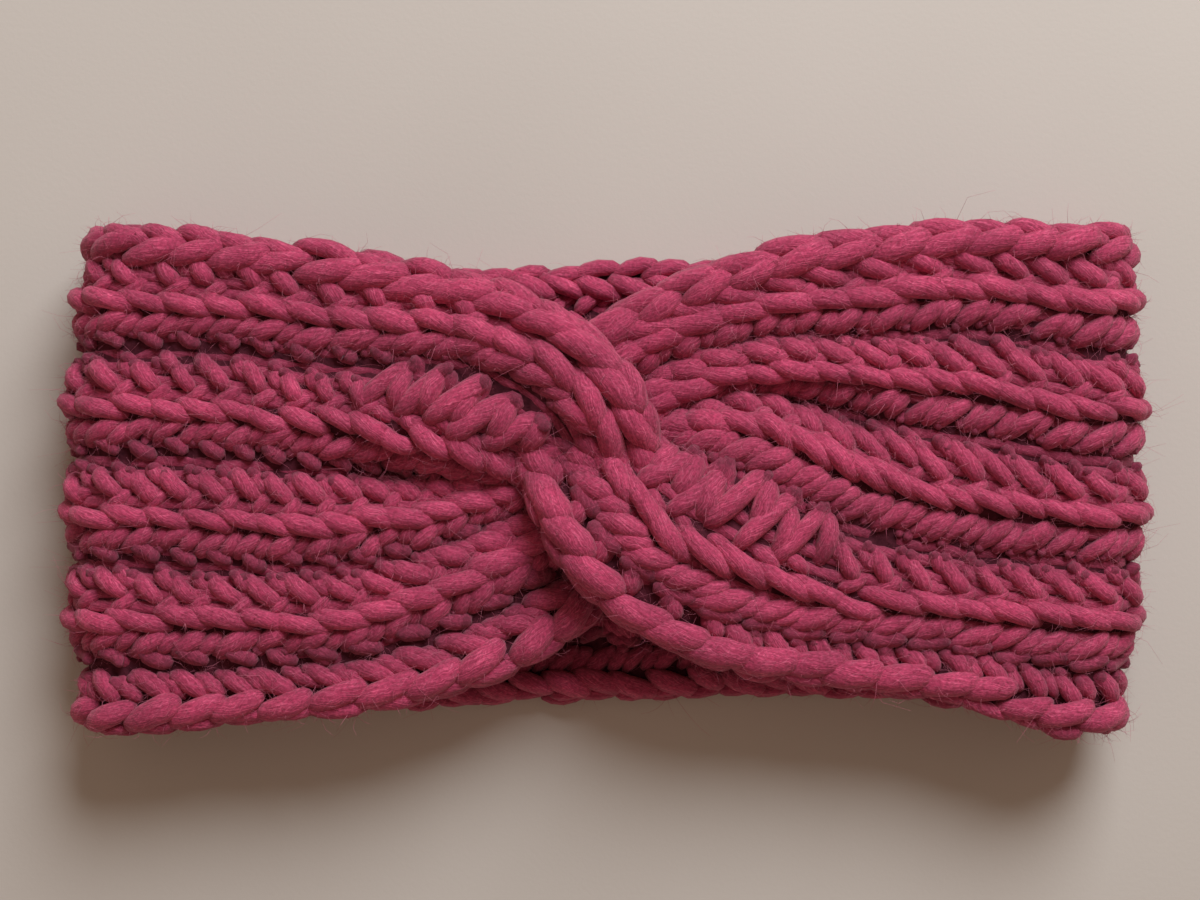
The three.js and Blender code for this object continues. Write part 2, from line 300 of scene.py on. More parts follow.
def wing_sheet(wing, side, across, ways):
    """Points on the middle of the fabric of a wing, for places across it (rows) and along it (columns)."""
    rows = np.array(ACROSS)
    start_x = -fold_centre(rows)[:, None]
    x_rows = np.hstack([start_x, np.array(wing["x"]) * LOOP_LENGTH / 2])
    y_rows = np.hstack([rows[:, None] * STRIP_HALF, np.array(wing["y"]) * STRIP_HALF])
    layer = np.array(LAYERS)
    rise = np.where(layer > 0, OVER_HEIGHT - FRONT_HEIGHT, FRONT_HEIGHT - UNDER_HEIGHT)
    z_rows = FRONT_HEIGHT + layer * rise
    x, y, z = (smooth(rows, smooth(STATIONS, table.T, ways).T, across) for table in (x_rows, y_rows, z_rows))
    near = side * smooth(STATIONS, SHIFT_RUN, ways)
    from_bottom = np.minimum(1, np.abs(side * across - PLEAT_PLACE) / PLEAT_REACH)
    dip = PLEAT_DEPTH * np.cos(math.pi / 2 * from_bottom)[:, None] ** 2 * smooth(STATIONS, PLEAT_RUN, ways)
    return np.stack([x + TWIST_SHIFT[0] * near, y + TWIST_SHIFT[1] * near, z - dip], axis=-1)


def fold_sheet(across, turns):
    angle = math.pi * (0.5 + turns)[None, :]
    centre = -fold_centre(across)[:, None]
    x = centre + FOLD_RADIUS * np.cos(angle)
    y = np.repeat(across[:, None] * STRIP_HALF, len(turns), axis=1)
    z = BACK_HEIGHT + FOLD_RADIUS + FOLD_RADIUS * np.sin(angle) + 0 * centre
    return np.stack([x, y, z], axis=-1)


def back_sheet(side, across, cuts):
    x = -fold_centre(across)[:, None] * (1 - cuts)[None, :]
    away = (-x - BACK_JOIN).clip(0)
    share = (away / (fold_centre(0) - BACK_JOIN)).clip(0, 1)
    spread = smooth(BACK_SPREAD["places"], BACK_SPREAD["shares"], share.ravel()).reshape(share.shape)
    width = BACK_WIDTH + (FOLD_WIDTH - BACK_WIDTH) * spread
    y = across[:, None] * width / 2 + (side * BACK_SHIFT - BACK_TILT * away) * (1 - spread)
    return np.stack([x, y, np.full_like(x, BACK_HEIGHT)], axis=-1)


def half_sheet(wing, side):
    """The middle of the fabric of one half of the strip, from its sewn end to the middle of the back."""
    across = np.linspace(-1, 1, SHEET_ACROSS)
    wing_part = wing_sheet(wing, side, across, np.linspace(1, 0, WING_COLUMNS))
    fold_part = fold_sheet(across, np.linspace(0, 1, FOLD_COLUMNS)[1:])
    back_part = back_sheet(side, across, np.linspace(0, 1, BACK_COLUMNS)[1:])
    sheet = np.concatenate([wing_part, fold_part, back_part], axis=1)
    if side < 0:
        sheet = sheet[::-1] * np.array([-1, -1, 1])
    return sheet


def tucked_end(sheet):
    """Columns that carry a sheet on past its first column, where a sewn end passes under the other wing."""
    steps = np.arange(1, TUCK_STEPS + 1)[:, None]
    way = unit(sheet[:, 0] - sheet[:, END_WAY_STEPS])[:, None]
    height = (sheet[:, 0, 2] - UNDER_HEIGHT).clip(0)[:, None, None]
    dive = np.array([0, 0, -TUCK_DIVE]) * height * (steps / TUCK_STEPS) ** TUCK_DIVE_POWER
    return sheet[:, :1] + way * steps * SHEET_STEP + dive


def loop_sheet():
    """The middle of the fabric all along the strip, in even steps, with the ways out of it and across it, and
    how far the strip is stretched at each place."""
    left = half_sheet(LEFT_WING, 1)
    right = half_sheet(RIGHT_WING, -1)[:, ::-1]
    sheet = np.concatenate([left, right[:, 1:]], axis=1)
    guides = sheet[[round((1 + place) / 2 * (SHEET_ACROSS - 1)) for place in (-0.6, 0, 0.6)]]
    steps = np.linalg.norm(np.diff(guides, axis=1), axis=2).mean(axis=0)
    lengths = np.concatenate([[0], np.cumsum(steps)])
    columns = np.interp(np.arange(0, lengths[-1], SHEET_STEP), lengths, np.arange(len(lengths)))
    low = np.minimum(columns.astype(int), len(lengths) - 2)
    part = (columns - low)[None, :, None]
    even = sheet[:, low] * (1 - part) + sheet[:, low + 1] * part
    even = np.concatenate([tucked_end(even)[:, ::-1], even, tucked_end(even[:, ::-1])], axis=1)
    sideways, onwards = np.gradient(even, axis=0), np.gradient(even, axis=1)
    normals = unit(np.cross(sideways, onwards))
    return even, normals, unit(sideways), np.linalg.norm(onwards, axis=2) / SHEET_STEP


SHEET, NORMALS, SIDEWAYS, STRETCHING = loop_sheet()
STRIP_LENGTH = (SHEET.shape[1] - 1) * SHEET_STEP - 2 * TUCK
STITCH_COUNT = round(STRIP_LENGTH / STITCH_LENGTH)
STITCH = STRIP_LENGTH / STITCH_COUNT
# At the sewn ends the fabric thins by a share and sinks by some millimetres
SEWN_REACH = 4.5
SEWN_THIN = 0.3
SEWN_SINK = 2.6
# The yarn's texture has places in centimetres, and starts at a random one of them on each tube
MM_PER_CM = 10
TEXTURE_STARTS = 40
ODD_WAY = np.array([0.31, 0.22, 0.93])


def read_grid(grid, across, along):
    """Values of a grid over the strip, at places across and lengths along it."""
    row = np.clip((across + 1) / 2 * (SHEET_ACROSS - 1), 0, SHEET_ACROSS - 1.001)
    column = np.clip((along + TUCK) / SHEET_STEP, 0, grid.shape[1] - 1.001)
    i, j = row.astype(int), column.astype(int)
    a, b = row - i, column - j
    if grid.ndim > 2:
        a, b = a[..., None], b[..., None]
    low = grid[i, j] * (1 - b) + grid[i, j + 1] * b
    high = grid[i + 1, j] * (1 - b) + grid[i + 1, j + 1] * b
    return low * (1 - a) + high * a


def from_sewn_end(along):
    return np.clip(np.minimum(along, STRIP_LENGTH - along), 0, None)


def on_strip(across, along, out):
    """Points at a distance out from the middle of the fabric, which thins and sinks at its sewn ends."""
    sewn = np.exp(-((from_sewn_end(along) / SEWN_REACH) ** 2))
    out = out * (1 - SEWN_THIN * sewn)
    past_edge = (np.abs(across) - 1).clip(0) * np.sign(across) * STRIP_HALF
    points = read_grid(SHEET, across, along) + read_grid(NORMALS, across, along) * out[..., None]
    points = points + read_grid(SIDEWAYS, across, along) * past_edge[..., None]
    return points - sewn[..., None] * (0, 0, SEWN_SINK)


def rounded(path, points):
    """A smooth path with even steps through a few points."""
    path = np.array(path, float)
    return smooth(np.arange(len(path)), path, np.linspace(0, len(path) - 1, points))


def stitch_paths(yarn, line, centres, face, points):
    """The yarn of one kind at every stitch of a row. face is 1 outside the loop and -1 inside it."""
    path = rounded(yarn["path"], points)
    count = len(centres)
    spread = {key: value * yarn.get("loose", 1) for key, value in VARIATION.items()}
    slide = rng.normal(0, spread["right"], (count, 1))
    drop = rng.normal(0, spread["down"], (count, 1))
    rise = rng.normal(0, spread["out"], (count, 1))
    stretch = rng.normal(1, spread["length"], (count, 1))
    arc = np.sin(np.linspace(0, math.pi, points))
    bow_right = rng.normal(0, spread["bow_right"], (count, 1)) * arc
    bow_down = rng.normal(0, spread["bow_down"], (count, 1)) * arc
    widen, heighten, lower = yarn.get("right_half", (1, 1, 0))
    on_right = (centres > STRIP_LENGTH / 2)[:, None]
    centre = path.mean(axis=0)
    right = centre[0] + (path[:, 0] - centre[0]) * np.where(on_right, widen, 1) * stretch
    down = centre[1] + (path[:, 1] - centre[1]) * np.where(on_right, heighten, 1) + lower * on_right
    along = centres[:, None] - (right + bow_right + slide) * STITCH
    across = moved_line(line, along) - (down + bow_down + drop) / STRIP_HALF
    out = path[:, 2] + rise
    return on_strip(across, along, face * out), out


def tube_radii(yarn, count, points):
    """Yarn radii along its path: full in the middle, drawn in towards the ends, with slubs."""
    ends = 1 - yarn.get("taper", TAPER) * np.abs(np.linspace(-1, 1, points)) ** TAPER_POWER
    slubs = 1 + SLUBS * rng.normal(size=(count, points))
    plump = np.clip(rng.normal(1, PLUMPNESS, (count, 1)), *RADIUS_LIMITS)
    return yarn["radius"] * ends * slubs * plump


def tube_rings(paths, radii, sides):
    """Rings of points round many paths of one number of points, in parallel-transported frames."""
    tangents = np.gradient(paths, axis=1)
    tangents /= np.linalg.norm(tangents, axis=2, keepdims=True)
    across = np.cross(tangents[:, 0], ODD_WAY)
    across /= np.linalg.norm(across, axis=1, keepdims=True)
    angles = np.linspace(0, 2 * math.pi, sides, endpoint=False)
    cosines, sines = np.cos(angles)[None, :, None], np.sin(angles)[None, :, None]
    rings = []
    for i in range(paths.shape[1]):
        across = across - tangents[:, i] * np.sum(across * tangents[:, i], axis=1, keepdims=True)
        across /= np.linalg.norm(across, axis=1, keepdims=True)
        other = np.cross(tangents[:, i], across)
        circle = cosines * across[:, None] + sines * other[:, None]
        rings.append(paths[:, i, None] + circle * radii[:, i, None, None])
    return np.stack(rings, axis=1)


def tube_faces(count, points, sides):
    """Quads round the tubes and a fan at each end, with the ends' middle points after the rings."""
    ring = np.arange(points - 1)[:, None] * sides
    side = np.arange(sides)[None, :]
    after = (side + 1) % sides
    corners = [ring + side, ring + after, ring + sides + after, ring + sides + side]
    quads = np.stack(corners, axis=-1).reshape(-1, 4)
    first, last = points * sides, points * sides + 1
    far = (points - 1) * sides
    k = np.arange(sides)
    near_fan = np.stack([np.full(sides, first), (k + 1) % sides, k], axis=-1)
    far_fan = np.stack([np.full(sides, last), far + k, far + (k + 1) % sides], axis=-1)
    size = points * sides + 2
    move = (np.arange(count) * size)[:, None, None]
    fans = np.concatenate([near_fan, far_fan])
    return (quads[None] + move).reshape(-1, 4), (fans[None] + move).reshape(-1, 3)


def tube_uvs(paths, radii, sides, starts):
    """Texture places in centimetres, along the yarn and round it, for the faces that tube_faces gives."""
    count, points = radii.shape
    steps = np.linalg.norm(np.diff(paths, axis=1), axis=2)
    lengths = np.concatenate([np.zeros((count, 1)), np.cumsum(steps, axis=1)], axis=1) / MM_PER_CM
    lengths += starts[:, None]
    girth = 2 * math.pi * radii.mean(axis=1, keepdims=True) / MM_PER_CM
    k = np.arange(sides)
    near, far = lengths[:, :-1, None], lengths[:, 1:, None]
    this, after = girth[:, None] * k / sides, girth[:, None] * (k + 1) / sides
    shape = (count, points - 1, sides)
    corners = [(near, this), (near, after), (far, after), (far, this)]
    spread = [[np.broadcast_to(value, shape) for value in corner] for corner in corners]
    quads = np.stack([np.stack(corner, -1) for corner in spread], -2)
    fan = np.zeros((count, 2 * sides, 3, 2))
    fan[..., 0] = np.repeat(lengths[:, [0, -1]], sides, axis=1)[..., None]
    fan[..., 1, 1] = np.tile(girth * k / sides, (1, 2))
    fan[..., 2, 1] = np.tile(girth * (k + 1) / sides, (1, 2))
    return quads.reshape(-1, 2), fan.reshape(-1, 2)


NO_QUADS = np.zeros((0, 4), int)
NO_TRIANGLES = np.zeros((0, 3), int)


def add_mesh(name, points, triangles=NO_TRIANGLES, quads=NO_QUADS, triangle_uvs=None, quad_uvs=None):
    """A smooth-shaded mesh object from arrays, with points in millimetres."""
    mesh = bpy.data.meshes.new(name)
    mesh.vertices.add(len(points))
    mesh.vertices.foreach_set("co", (points * MM).ravel())
    corners = np.concatenate([quads.ravel(), triangles.ravel()])
    starts = np.concatenate([np.arange(len(quads)) * 4, len(quads) * 4 + np.arange(len(triangles)) * 3])
    mesh.loops.add(len(corners))
    mesh.loops.foreach_set("vertex_index", corners.astype(np.int32))
    mesh.polygons.add(len(starts))
    mesh.polygons.foreach_set("loop_start", starts.astype(np.int32))
    if quad_uvs is not None:
        layer = mesh.uv_layers.new(name="yarn")
        layer.data.foreach_set("uv", np.concatenate([quad_uvs, triangle_uvs]).ravel())
    mesh.update(calc_edges=True)
    mesh.polygons.foreach_set("use_smooth", np.ones(len(starts), bool))
    obj = bpy.data.objects.new(name, mesh)
    bpy.context.scene.collection.objects.link(obj)
    return obj


class Skein:
    """Gathers tubes of yarn and makes one mesh of them."""

    def __init__(self):
        self.points, self.quads, self.fans, self.quad_uvs, self.fan_uvs, self.depths = [], [], [], [], [], []
        self.size = 0
        self.skins = []

    def add(self, paths, radii, sides, depths):
        """Adds tubes along paths. depths are the heights of the paths' points in the fabric."""
        count, points = radii.shape
        rings = tube_rings(paths, radii, sides)
        ends = paths[:, [0, -1]]
        vertices = np.concatenate([rings.reshape(count, -1, 3), ends], axis=1).reshape(-1, 3)
        quads, fans = tube_faces(count, points, sides)
        quad_uvs, fan_uvs = tube_uvs(paths, radii, sides, rng.uniform(0, TEXTURE_STARTS, count))
        self.points.append(vertices)
        self.quads.append(quads + self.size)
        self.fans.append(fans + self.size)
        self.quad_uvs.append(quad_uvs)
        self.fan_uvs.append(fan_uvs)
        depths = np.concatenate([np.repeat(depths, sides, axis=1), depths[:, [0, -1]]], axis=1)
        self.depths.append(depths.ravel())
        self.size += len(vertices)
        middle = rings[:, 1:-1]
        run = np.broadcast_to(np.gradient(paths, axis=1)[:, 1:-1, None], middle.shape)
        skin = (middle, middle - paths[:, 1:-1, None], run)
        self.skins.append([part.reshape(-1, 3) for part in skin])

    def skin(self, count):
        """Places picked at random all over the yarns, with the ways out from the yarn and along it."""
        points, out, run = (np.concatenate(parts) for parts in zip(*self.skins))
        chosen = rng.integers(0, len(points), count)
        return points[chosen], unit(out[chosen]), unit(run[chosen])

    def make(self, name):
        parts = (self.points, self.fans, self.quads, self.fan_uvs, self.quad_uvs)
        obj = add_mesh(name, *(np.concatenate(part) for part in parts))
        # The depth attribute sets the yarn material's painted shade and painted highlight.
        depth = obj.data.attributes.new("depth", "FLOAT", "POINT")
        depth.data.foreach_set("value", np.concatenate(self.depths).astype(np.float32))
        return obj


# Stretches of the strip that are separate meshes, as shares of its length
STRETCHES = {
    "left_wing": {"shares": (0.0, 0.28), "cut": WING_CUT, "fibres": 22000},
    "left_back": {"shares": (0.28, 0.5), "cut": BACK_CUT, "fibres": 3000},
    "right_back": {"shares": (0.5, 0.72), "cut": BACK_CUT, "fibres": 3000},
    "right_wing": {"shares": (0.72, 1.0), "cut": WING_CUT, "fibres": 22000},
}
ROWS = [(line, RIB_YARNS) for line in CRESTS] + [(1.0, TOP_EDGE_YARNS), (-1.0, BOTTOM_EDGE_YARNS)]
# Near the twist the yarns are plumper, the edge that crosses over rides close up to its rib, and that rib
# moves out. Beside it another rib opens out, and covers the bumps of the one above. The reaches are in
# millimetres from the sewn ends.
TWIST_ZONE = 52.0
CLOSED_UP = 42.0
POSTS = ("post", "low_loop", "foot", "left_leg", "right_leg", "low_foot")
LOFT = 0.28
LOFT_REACH = 42.0
RIB_MOVE = 0.05
STRETCH_LIMITS = (0.95, 1.08)


def moved_line(line, along):
    """The place of a row across the strip. Near the twist, the rib beside the edge that crosses over shifts
    outwards."""
    near = np.exp(-((from_sewn_end(along) / CLOSED_UP) ** 2))
    on_left = along < STRIP_LENGTH / 2
    over = np.where(on_left, line == CRESTS[0], line == CRESTS[-1])
    return line + RIB_MOVE * near * over * np.where(on_left, 1, -1)


def worked(name, yarn, line, along):
    """Which stitches of a row have this yarn."""
    distance = from_sewn_end(along)
    on_left = along < STRIP_LENGTH / 2
    opened = (distance < TWIST_ZONE) & np.where(on_left, line == CRESTS[1], line == CRESTS[3])
    covered = (distance < TWIST_ZONE) & np.where(on_left, line == CRESTS[0], line == CRESTS[2])
    keep = np.ones(len(along), bool)
    if "zone" in yarn:
        keep &= opened == (yarn["zone"] == "twist")
    if name == "valley_bump":
        keep &= ~covered & (on_left | (line == CRESTS[-1]))
    if line == CRESTS[0] and name in POSTS:
        keep &= ~((distance < CLOSED_UP) & on_left)
    if line == -1 and name == "stub":
        keep &= ~((distance < CLOSED_UP) & ~on_left)
    return keep


def knit_stretch(shares, face, cut):
    """All the stitches of one face along one stretch of the strip."""
    skein = Skein()
    stitches = (np.arange(-1, STITCH_COUNT + 1) + 0.5) * STITCH
    share = np.clip(stitches / STRIP_LENGTH, 0, 0.999)
    stitches = stitches[(share >= shares[0]) & (share < shares[1])]
    for line, yarns in ROWS:
        for name, yarn in yarns.items():
            centres = stitches[worked(name, yarn, line, stitches)]
            if len(centres) == 0:
                continue
            paths, depths = stitch_paths(yarn, line, centres, face, cut["points"])
            down = np.mean(yarn["path"], axis=0)[1]
            across = np.full_like(centres, np.clip(line - down / STRIP_HALF, -1, 1))
            stretching = np.clip(read_grid(STRETCHING, across, centres), *STRETCH_LIMITS)
            loft = 1 + LOFT * np.exp(-((from_sewn_end(centres) / LOFT_REACH) ** 2))
            radii = tube_radii(yarn, len(centres), cut["points"]) * (stretching * loft)[:, None]
            paths[..., 2] = np.maximum(paths[..., 2], radii)
            skein.add(paths, radii, cut["sides"], depths)
    return skein


# Half the thickness of the layer between the two faces, under a rib's crest and in a valley, and how far from
# the crest it thins
GROUND_CREST = 1.9
GROUND_VALLEY = 0.2
GROUND_RIB = 9.0
# Where the layer ends across the strip and along it, and how finely it is cut
GROUND_EDGE = 0.97
GROUND_TUCK = 0.9 * TUCK
GROUND_CUTS = {"across": 31, "along": 140}
# The strands under each rib: millimetres down from the crest, and out from the middle of the fabric
CORE_LINES = {-11.6: -1.0, -8.6: -0.3, -5.6: 0.5, -2.8: 0.7, 4.4: 0.1, 7.4: -0.9}
CORE_RADIUS = 1.7
CORE_STEP = 4.0
CORE_SIDES = 6
CORE_SWAY = 0.25
CORE_UNEVEN = 0.06
# Fibres. HAIR_REACH is how far they may reach past the solid, spread is of their lengths, root is how deep
# they start, along and any are the pulls along the yarn and any way, and lift, bend and droop are shares of
# the length.
HAIR_REACH = 7.0
HAIR_SIDES = 3
HAIR_TIP = 0.4
HALO = {"length": 1.8, "spread": 0.45, "radius": 0.045, "root": 0.12, "along": 0.7, "any": 0.5}
HALO_LIFT = (0.1, 1.0)
LONG_HAIR = {"spread": 0.4, "bend": 0.6, "droop": 0.6}
STRAYS = {"count": 70, "length": 7.0, "radius": 0.035, "lift": 1.1, "points": 8}
HAIRS = {"count": 8000, "length": 3.0, "radius": 0.04, "lift": 0.9, "points": 3}


def ground():
    """The closed layer of fabric between the two faces, which is all that shows between the yarns."""
    across = np.linspace(-GROUND_EDGE, GROUND_EDGE, GROUND_CUTS["across"])
    along = np.linspace(-GROUND_TUCK, STRIP_LENGTH + GROUND_TUCK, GROUND_CUTS["along"])
    grid_across, grid_along = np.meshgrid(across, along, indexing="ij")
    rows, columns = grid_across.shape
    from_crest = np.min([np.abs(across - line) for line in CRESTS], axis=0) * STRIP_HALF
    half = GROUND_VALLEY + (GROUND_CREST - GROUND_VALLEY) * np.clip(1 - from_crest / GROUND_RIB, 0, 1)
    faces = [on_strip(grid_across, grid_along, side * half[:, None] + 0 * grid_along) for side in (1, -1)]
    points = np.concatenate([face.reshape(-1, 3) for face in faces])
    index = np.arange(rows * columns).reshape(rows, columns)
    under = index + rows * columns
    top = np.stack([index[:-1, :-1], index[:-1, 1:], index[1:, 1:], index[1:, :-1]], -1).reshape(-1, 4)
    rim = np.concatenate([index[0, :], index[1:, -1], index[-1, -2::-1], index[-2:0:-1, 0]])
    after = np.roll(rim, -1)
    low = rows * columns
    sides = np.stack([rim, rim + low, after + low, after], axis=-1)
    quads = np.concatenate([top[:, ::-1], under[0, 0] + top, sides])
    return add_mesh("ground", points, quads=quads)


def hair_room(radius):
    """The lowest and highest corner, in millimetres, of the room that fibres may reach round the solid."""
    low, high = (np.array(corner) / MM for corner in cad_box)
    return np.array([*(low[:2] - HAIR_REACH), radius]), high + HAIR_REACH


def cores():
    """Strands that run under the stitches of each rib, which show in the gaps between the stitches."""
    skein = Skein()
    along = np.arange(-TUCK, STRIP_LENGTH + TUCK, CORE_STEP)
    for line in CRESTS:
        for down, out in CORE_LINES.items():
            sway = rng.normal(0, CORE_SWAY, (2, len(along)))
            across = np.full_like(along, line) - (down + sway[0]) / STRIP_HALF
            path = on_strip(across, along, out + sway[1])[None]
            radii = CORE_RADIUS * rng.normal(1, CORE_UNEVEN, (1, len(along)))
            path[..., 2] = np.maximum(path[..., 2], radii)
            skein.add(path, radii, CORE_SIDES, np.full_like(radii, out))
    return skein


def halo(skein, count):
    """Short fibres all over the yarns: three-sided slivers that lean along the yarn."""
    root, out, run = skein.skin(count)
    side = rng.choice([-1, 1], (count, 1))
    lift = out * rng.uniform(*HALO_LIFT, (count, 1))
    way = unit(HALO["along"] * run * side + lift + rng.normal(0, HALO["any"], (count, 3)))
    size = HALO["length"] * rng.lognormal(0, HALO["spread"], (count, 1))
    width = unit(np.cross(way, out)) * HALO["radius"]
    depth = np.cross(way, width)
    turns = np.array([0, 2 * math.pi / 3, 4 * math.pi / 3])
    start = root - out * HALO["root"]
    base = [start + width * math.cos(turn) + depth * math.sin(turn) for turn in turns]
    points = np.stack([*base, start + way * size], axis=1)
    points[..., 2] = np.maximum(points[..., 2], 0)
    sliver = np.array([(0, 2, 1), (0, 1, 3), (1, 2, 3), (2, 0, 3)])
    triangles = sliver[None] + 4 * np.arange(count)[:, None, None]
    return points.reshape(-1, 3), triangles.reshape(-1, 3)


def stray_fibres(skeins, hairs):
    """Long loose fibres that stand off the yarns, as thin closed tubes."""
    skein = Skein()
    for source in skeins:
        count = hairs["count"]
        root, out, run = source.skin(count)
        drift = rng.normal(size=(count, 3))
        drift = unit(drift - out * np.sum(drift * out, axis=1, keepdims=True))
        bend = np.cross(out, drift) * rng.normal(0, LONG_HAIR["bend"], (count, 1))
        size = hairs["length"] * rng.lognormal(0, LONG_HAIR["spread"], (count, 1))
        steps = np.linspace(0, 1, hairs["points"])
        lifts = hairs["lift"] * (steps - LONG_HAIR["droop"] * steps**2)
        reach = [drift * step + bend * step**2 + out * lift for step, lift in zip(steps, lifts)]
        paths = root[:, None] + size[:, None] * np.stack(reach, axis=1)
        paths = np.clip(paths, *hair_room(hairs["radius"]))
        radii = hairs["radius"] * np.linspace(1, HAIR_TIP, hairs["points"]) * np.ones((count, 1))
        skein.add(paths, radii, HAIR_SIDES, np.zeros_like(radii))
    return skein


class Nodes:
    """Short calls for making a material's nodes and links."""

    def __init__(self, name):
        self.material = bpy.data.materials.new(name)
        self.material.use_nodes = True
        self.tree = self.material.node_tree
        self.tree.nodes.clear()

    def add(self, kind, inputs=None, **settings):
        node = self.tree.nodes.new(kind)
        for key, value in settings.items():
            setattr(node, key, value)
        for key, value in (inputs or {}).items():
            if isinstance(value, bpy.types.NodeSocket):
                self.tree.links.new(value, node.inputs[key])
            else:
                node.inputs[key].default_value = value
        return node

    def noise(self, vector, scale, detail=3.0, roughness=0.55):
        node = self.add("ShaderNodeTexNoise", {"Vector": vector, "Scale": scale, "Detail": detail,
                                               "Roughness": roughness})
        return node.outputs["Fac"]

    def grained(self, vector, size, turn):
        """Coordinates for a noise whose grains have this size, turned by an angle."""
        node = self.add("ShaderNodeMapping", {"Vector": vector, "Scale": size, "Rotation": (0, 0, turn)},
                        vector_type="TEXTURE")
        return node.outputs["Vector"]

    def ramp(self, factor, stops):
        node = self.add("ShaderNodeValToRGB", {"Fac": factor})
        elements = node.color_ramp.elements
        while len(elements) < len(stops):
            elements.new(0.5)
        for element, (position, colour) in zip(elements, stops):
            element.position = position
            element.color = (*colour, 1)
        return node.outputs["Color"]

    def mix(self, kind, factor, a, b):
        node = self.add("ShaderNodeMix", data_type="RGBA", blend_type=kind)
        for index, value in ((0, factor), (6, a), (7, b)):
            if isinstance(value, bpy.types.NodeSocket):
                self.tree.links.new(value, node.inputs[index])
            else:
                node.inputs[index].default_value = value
        return node.outputs[2]

    def bump(self, height, strength, distance, normal=None):
        inputs = {"Height": height, "Strength": strength, "Distance": distance}
        if normal is not None:
            inputs["Normal"] = normal
        return self.add("ShaderNodeBump", inputs).outputs["Normal"]

    def finish(self, inputs):
        shader = self.add("ShaderNodeBsdfPrincipled", inputs)
        self.add("ShaderNodeOutputMaterial", {"Surface": shader.outputs["BSDF"]})
        return self.material


YARN_DARK = (0.24, 0.018, 0.054)
YARN_MID = (0.385, 0.033, 0.097)
YARN_LIGHT = (0.58, 0.095, 0.19)


def yarn_material():
    """Soft-spun wool in raspberry shades: fine wavy fibres along the yarn, and a few paler ones across it,
    with painted shade on deep-lying yarn and a painted highlight on the highest.
    """
    nodes = Nodes("raspberry_yarn")
    uv = nodes.add("ShaderNodeUVMap", uv_map="yarn").outputs["UV"]
    place = nodes.add("ShaderNodeTexCoord").outputs["Object"]
    sway = nodes.add("ShaderNodeTexNoise", {"Vector": place, "Scale": 260.0, "Detail": 2.0}).outputs["Color"]
    move = {0: sway, 1: (0.2, 0.2, 0), 2: uv}
    swayed = nodes.add("ShaderNodeVectorMath", move, operation="MULTIPLY_ADD").outputs[0]
    fibres = nodes.noise(nodes.grained(swayed, (0.5, 0.02, 1), 0.26), 1.0, 3.0, 0.6)
    strands = nodes.noise(nodes.grained(uv, (0.9, 0.16, 1), 0.3), 1.0, 2.0)
    crossing = nodes.noise(nodes.grained(swayed, (0.3, 0.018, 1), -0.5), 1.0, 2.0, 0.6)
    nap = nodes.noise(place, 1500.0, 2.0)
    patches = nodes.noise(place, 90.0, 3.0)
    shades = nodes.ramp(fibres, [(0.3, YARN_DARK), (0.5, YARN_MID), (0.7, YARN_LIGHT)])
    blotch = nodes.ramp(patches, [(0.3, (0.76, 0.72, 0.76)), (0.7, (1.12, 1.12, 1.12))])
    speckle = nodes.ramp(nap, [(0.3, (0.7, 0.66, 0.7)), (0.7, (1.25, 1.3, 1.28))])
    # Painted shade and highlight: the colour is darkened where the yarn lies deep in the fabric and brightened
    # where it stands highest.
    depth = nodes.add("ShaderNodeAttribute", attribute_name="depth").outputs["Fac"]
    painted_depth_shade = nodes.add("ShaderNodeMapRange", {0: depth, 1: -2.5, 2: 3.2, 3: 0.58, 4: 1.18}).outputs[0]
    bloom = nodes.ramp(crossing, [(0.56, (0, 0, 0)), (0.72, (0.13, 0.055, 0.075))])
    colour = nodes.mix("MULTIPLY", 1.0, nodes.mix("MULTIPLY", 1.0, shades, blotch), speckle)
    colour = nodes.mix("ADD", 1.0, colour, bloom)
    colour = nodes.mix("MULTIPLY", 1.0, colour, painted_depth_shade)
    normal = nodes.bump(strands, 0.4, 0.0008)
    normal = nodes.bump(fibres, 0.5, 0.0004, normal)
    normal = nodes.bump(nap, 0.3, 0.0003, normal)
    return nodes.finish({
        "Base Color": colour, "Roughness": 0.75, "Normal": normal, "Specular IOR Level": 0.22,
        "Sheen Weight": 0.2, "Sheen Roughness": 0.6, "Sheen Tint": (1.0, 0.66, 0.74, 1),
    })


def ground_material():
    """The fabric between the yarns, coloured far darker than the yarn as painted shade."""
    nodes = Nodes("raspberry_ground")
    place = nodes.add("ShaderNodeTexCoord").outputs["Object"]
    lumps = nodes.noise(place, 420.0, 3.0)
    # Painted shade: a much darker raspberry than the yarn, standing in for the shade between the stitches.
    colour = nodes.ramp(lumps, [(0.3, (0.045, 0.01, 0.017)), (0.7, (0.12, 0.024, 0.042))])
    normal = nodes.bump(lumps, 0.8, 0.001)
    return nodes.finish({
        "Base Color": colour, "Roughness": 0.95, "Normal": normal, "Specular IOR Level": 0.1,
    })


def fuzz_material():
    """Single fibres, coloured paler and greyer than the yarn as painted sheen."""
    nodes = Nodes("raspberry_fuzz")
    place = nodes.add("ShaderNodeTexCoord").outputs["Object"]
    tone = nodes.noise(place, 300.0, 2.0)
    # Painted sheen: the fibres are paler and less saturated than the yarn.
    colour = nodes.ramp(tone, [(0.3, (0.44, 0.09, 0.16)), (0.7, (0.66, 0.22, 0.31))])
    return nodes.finish({"Base Color": colour, "Roughness": 0.7, "Specular IOR Level": 0.3})


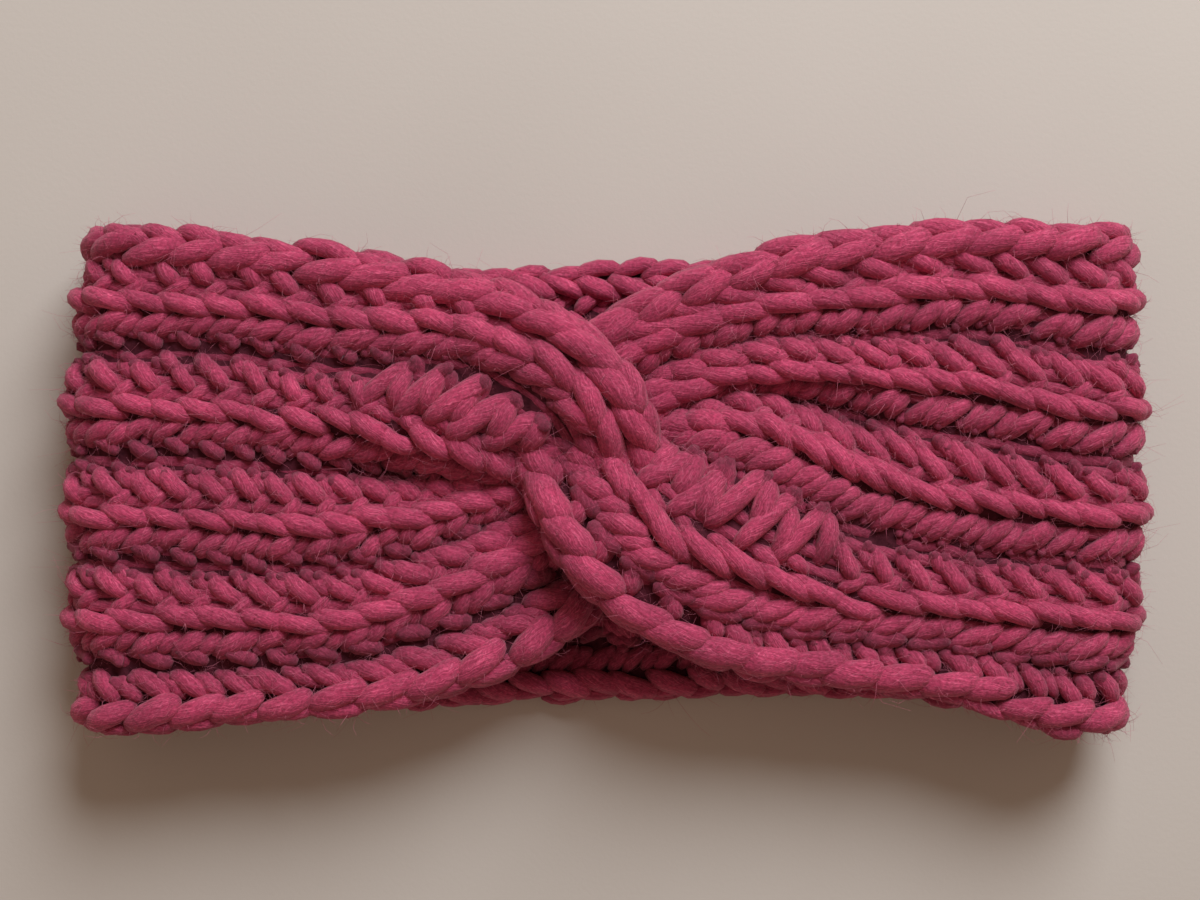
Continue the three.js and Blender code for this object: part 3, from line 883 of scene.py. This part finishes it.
def floor_material():
    """A plain pale matt surface with a faint grain."""
    nodes = Nodes("pale_floor")
    place = nodes.add("ShaderNodeTexCoord").outputs["Object"]
    grain = nodes.noise(place, 900.0, 4.0)
    cloud = nodes.noise(place, 6.0, 2.0)
    colour = nodes.ramp(cloud, [(0.3, (0.56, 0.53, 0.49)), (0.7, (0.60, 0.57, 0.53))])
    return nodes.finish({"Base Color": colour, "Roughness": 0.9, "Normal": nodes.bump(grain, 0.12, 0.0003)})


def dress(obj, material, slot=True):
    obj.data.materials.append(material)
    if slot:
        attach(obj, "root")
    return obj


def make_headband():
    yarn, fuzz_look = yarn_material(), fuzz_material()
    outer = []
    for name, stretch in STRETCHES.items():
        skein = knit_stretch(stretch["shares"], 1, stretch["cut"])
        outer.append(skein)
        piece = dress(skein.make("stitches_" + name), yarn)
        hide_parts("band")
        dress(knit_stretch(stretch["shares"], -1, INNER_CUT).make("inner_stitches_" + name), yarn)
        fibres = add_mesh("fibres_" + name, *halo(skein, stretch["fibres"]))
        dress(fibres, fuzz_look)
    dress(ground(), ground_material())
    dress(cores().make("core_strands"), yarn)
    dress(stray_fibres(outer, STRAYS).make("stray_fibres"), fuzz_look)
    for side, skein in (("left", outer[0]), ("right", outer[-1])):
        dress(stray_fibres([skein], HAIRS).make("loose_hairs_" + side), fuzz_look)


FLOOR_HALF = 3.0


def make_floor():
    mesh = bpy.data.meshes.new("floor")
    half = FLOOR_HALF
    corners = [(-half, -half, 0), (half, -half, 0), (half, half, 0), (-half, half, 0)]
    mesh.from_pydata(corners, [], [(0, 1, 2, 3)])
    floor = bpy.data.objects.new("floor", mesh)
    bpy.context.scene.collection.objects.link(floor)
    floor.data.materials.append(floor_material())


def aim(obj, target):
    obj.rotation_euler = (Vector(target) - obj.location).to_track_quat("-Z", "Y").to_euler()


def add_light(name, place, target, size, power, colour):
    light = bpy.data.lights.new(name, "AREA")
    light.shape = "DISK"
    light.size = size
    light.energy = power
    light.color = colour
    obj = bpy.data.objects.new(name, light)
    obj.location = place
    bpy.context.scene.collection.objects.link(obj)
    aim(obj, target)


def make_lights():
    add_light("window", (0.28, 0.72, 0.68), (0, 0, 0.02), 0.6, 10.5, (0.97, 0.98, 1.0))
    world = bpy.data.worlds.new("room")
    world.use_nodes = True
    background = world.node_tree.nodes["Background"]
    background.inputs["Color"].default_value = (1.0, 0.7, 0.52, 1)
    background.inputs["Strength"].default_value = 0.28
    bpy.context.scene.world = world


# The camera looks straight down. FRAME_WIDTH is what it sees at SHARP_HEIGHT. All in metres but the sensor.
CAMERA_HEIGHT = 0.451
CAMERA_CENTRE = (-0.0011, 0.0066)
SENSOR = 36.0
FRAME_WIDTH = 0.2573
SHARP_HEIGHT = 0.031


def make_camera():
    camera = bpy.data.cameras.new("camera")
    camera.sensor_width = SENSOR
    camera.lens = SENSOR * (CAMERA_HEIGHT - SHARP_HEIGHT) / FRAME_WIDTH
    camera.clip_start = 0.01
    obj = bpy.data.objects.new("camera", camera)
    obj.location = (*CAMERA_CENTRE, CAMERA_HEIGHT)
    bpy.context.scene.collection.objects.link(obj)
    bpy.context.scene.camera = obj


make_camera()
make_lights()
make_floor()
make_headband()
bpy.context.scene.view_settings.view_transform = "Standard"
